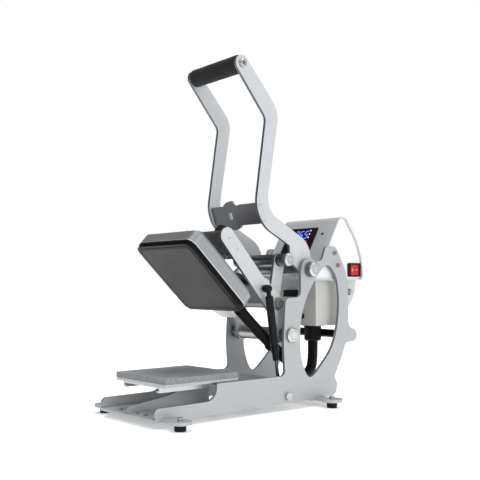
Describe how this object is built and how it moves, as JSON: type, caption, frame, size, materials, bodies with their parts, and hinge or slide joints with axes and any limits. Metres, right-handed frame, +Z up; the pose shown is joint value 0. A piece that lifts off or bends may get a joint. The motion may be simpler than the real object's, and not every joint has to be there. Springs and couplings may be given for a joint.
{
  "type": "clamshell heat press",
  "caption": "Bench-top clamshell heat press with a toggle handle, gas spring, magnetic hold-down, pressure knob, square heated platen and rear control box.",
  "frame": {"origin": "middle of the bounding box at the height of the feet's undersides", "axes": "+X to the side with the gas spring and the power rocker, +Y to the back, +Z up"},
  "size_m": [0.2674, 0.503, 0.6335],
  "materials": {
    "silver_coat": "satin powder coat",
    "arm_coat": "satin powder coat",
    "white_coat": "satin paint",
    "shroud_coat": "satin powder coat",
    "housing_coat": "satin paint",
    "dark_steel": "oiled dark steel",
    "bright_steel": "turned steel",
    "zinc": "bright zinc plate",
    "black_oxide": "black oxide",
    "black_rubber": "matte",
    "black_foam": "matte foam",
    "pad_silicone": "matte sponge silicone",
    "plain_aluminium": "mill finish",
    "non_stick": "matte non-stick coating",
    "black_plastic": "matte",
    "black_gloss": "gloss",
    "display_glass": "gloss",
    "red_plastic": "gloss",
    "board_green": "satin",
    "dark_armature": "satin"
  },
  "bodies": {
    "frame": {"side_plate_right": "silver_coat", "side_plate_left": "silver_coat", "front_base_plate": "silver_coat", "rear_base_plate": "silver_coat", "centre_rib": "silver_coat", "platen_saddle": "silver_coat", "platen_bracket": "bright_steel", "lower_platen_plate": "plain_aluminium", "foam_pad": "pad_silicone", "rubber_feet": "black_rubber", "frame_screws": "zinc", "rear_tie_bar": "black_oxide", "pivot_axles": "bright_steel", "axle_caps": "bright_steel", "axle_spacers": "dark_steel", "control_shroud": "shroud_coat", "side_panels": "white_coat", "lower_housing": "housing_coat", "display_panel": "display_glass", "indicator_lights": "red_plastic", "circuit_board": "board_green", "box_fittings": "black_plastic", "strain_relief": "black_plastic", "spring_foot_stud": "zinc", "conduit_lower": "black_plastic"},
    "handle": {"handle_arm_right": "arm_coat", "handle_arm_left": "arm_coat", "armature_plate": "dark_armature", "grip": "black_foam", "grip_rod": "zinc", "handle_tubes": "dark_steel", "toggle_shaft": "dark_steel", "toggle_washers": "black_oxide"},
    "toggle_link": {"toggle_links": "arm_coat", "knee_shaft": "dark_steel"},
    "upper_arm": {"heater_arm_right": "arm_coat", "heater_arm_left": "arm_coat", "clamshell_tube": "dark_steel", "front_yoke_plate": "arm_coat", "arm_cross_plates": "arm_coat", "screw_bush": "bright_steel", "electromagnet": "dark_steel", "knee_caps": "bright_steel", "spring_top_stud": "zinc", "conduit_tie": "black_plastic", "conduit_upper": "black_plastic"},
    "heated_platen": {"heater_block": "non_stick", "heating_elements": "bright_steel", "edge_band": "black_plastic", "heater_cover": "silver_coat", "guide_posts": "bright_steel", "conduit_bracket": "bright_steel"},
    "pressure_adjuster": {"pressure_knob": "black_plastic", "pressure_screw": "bright_steel"},
    "gas_spring_rod": {"gas_spring_rod": "bright_steel"},
    "gas_spring_cylinder": {"gas_spring_cylinder": "black_oxide"},
    "power_rocker": {"power_rocker": "red_plastic"},
    "key_set": {"key_set": "black_gloss"},
    "key_minus": {"key_minus": "black_gloss"},
    "key_plus": {"key_plus": "black_gloss"}
  },
  "joints": [
    {"name": "handle_swing", "type": "hinge", "parent": "frame", "child": "handle", "pos_m": [0, 0.0925, 0.2525], "axis": [1, 0, 0], "range_deg": [0, 62.48], "stiffness_Nm_per_rad": 3, "springref_deg": -63.03},
    {"name": "link_swing", "type": "hinge", "parent": "handle", "child": "toggle_link", "pos_m": [0, 0.049, 0.2705], "axis": [1, 0, 0], "range_deg": [-97.96, 0]},
    {"name": "clamshell_swing", "type": "hinge", "parent": "frame", "child": "upper_arm", "pos_m": [0, 0.0443, 0.1335], "axis": [1, 0, 0], "range_deg": [0, 44.41], "stiffness_Nm_per_rad": 8, "springref_deg": -85.94, "deforming": ["conduit_lower"]},
    {"name": "platen_height", "type": "slide", "parent": "upper_arm", "child": "heated_platen", "axis": [0, -0.6997, -0.7145], "range_m": [0, 0.0105], "deforming": ["conduit_upper"]},
    {"name": "knob_turn", "type": "hinge", "parent": "heated_platen", "child": "pressure_adjuster", "pos_m": [0, -0.12719, 0.2358], "axis": [0, -0.6997, -0.7145], "range_deg": [0, 1081]},
    {"name": "gas_spring_swing", "type": "hinge", "parent": "frame", "child": "gas_spring_rod", "pos_m": [0.0625, 0.0335, 0.025], "axis": [1, 0, 0], "range_deg": [0, 20.63]},
    {"name": "gas_spring_stroke", "type": "slide", "parent": "gas_spring_rod", "child": "gas_spring_cylinder", "axis": [-0.0709, 0.1976, -0.9777], "range_m": [0, 0.0389]},
    {"name": "rocker_tilt", "type": "hinge", "parent": "frame", "child": "power_rocker", "pos_m": [0.068, 0.2255, 0.2525], "axis": [0, 0, 1], "range_deg": [-14, 0]},
    {"name": "key_set_press", "type": "slide", "parent": "frame", "child": "key_set", "axis": [0, 0.8632, -0.5049], "range_m": [0, 0.0008], "stiffness_N_per_m": 900, "springref_m": -0.0004},
    {"name": "key_minus_press", "type": "slide", "parent": "frame", "child": "key_minus", "axis": [0, 0.8632, -0.5049], "range_m": [0, 0.0008], "stiffness_N_per_m": 900, "springref_m": -0.0004},
    {"name": "key_plus_press", "type": "slide", "parent": "frame", "child": "key_plus", "axis": [0, 0.8632, -0.5049], "range_m": [0, 0.0008], "stiffness_N_per_m": 900, "springref_m": -0.0004}
  ],
  "couplings": [
    {"joint": "link_swing", "follows": "handle_swing", "ratio": -1.5677},
    {"joint": "clamshell_swing", "follows": "handle_swing", "ratio": 0.71065},
    {"joint": "gas_spring_swing", "follows": "handle_swing", "ratio": 0.33007},
    {"joint": "gas_spring_stroke", "follows": "handle_swing", "m_per_rad": 0.03565},
    {"joint": "knob_turn", "follows": "platen_height", "rad_per_m": 1795.2}
  ]
}
